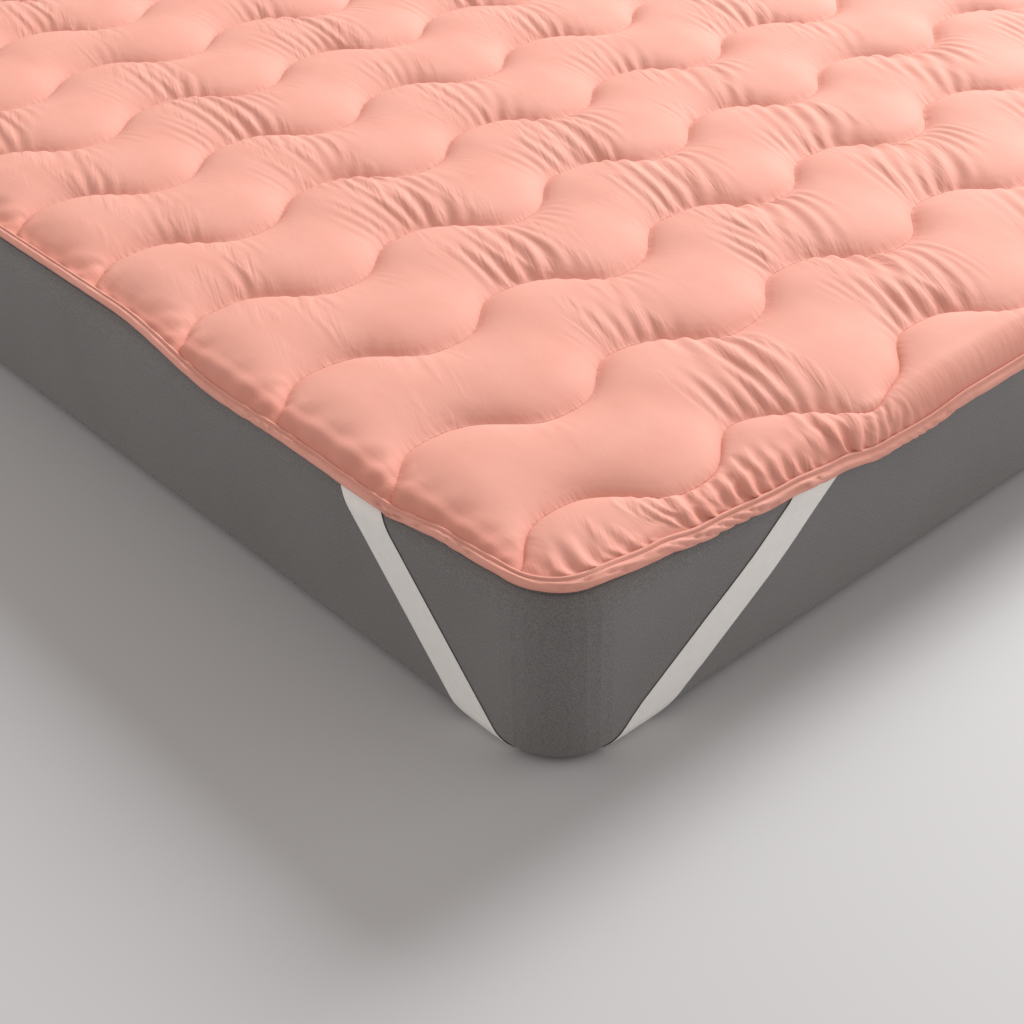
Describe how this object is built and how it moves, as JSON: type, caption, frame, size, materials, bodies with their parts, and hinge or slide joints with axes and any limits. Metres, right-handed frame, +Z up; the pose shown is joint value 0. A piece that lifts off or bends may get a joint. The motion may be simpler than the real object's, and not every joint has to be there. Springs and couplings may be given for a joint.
{
  "type": "quilted mattress topper on a mattress",
  "caption": "Peach quilted mattress topper with wavy sewn channels and a bound hem, held by elastic corner straps, lying on a plain dark grey mattress.",
  "frame": {"origin": "centre of the mattress's flat underside, on the surface it rests on", "axes": "+X along the short side, +Y along the long side, +Z up"},
  "size_m": [1.6034, 2.0138, 0.2047],
  "materials": {
    "mattress_cover": "dark grey knitted mattress cover",
    "quilted_cotton": "peach cotton with a soft sheen, quilted over filling",
    "binding_cotton": "peach cotton strip, folded and stitched",
    "strap_elastic": "white ribbed elastic webbing"
  },
  "bodies": {
    "root": {"mattress": "mattress_cover", "quilted_pad": "quilted_cotton", "edge_binding": "binding_cotton", "corner_strap_1": "strap_elastic", "corner_strap_2": "strap_elastic", "corner_strap_3": "strap_elastic", "corner_strap_4": "strap_elastic"}
  },
  "joints": []
}
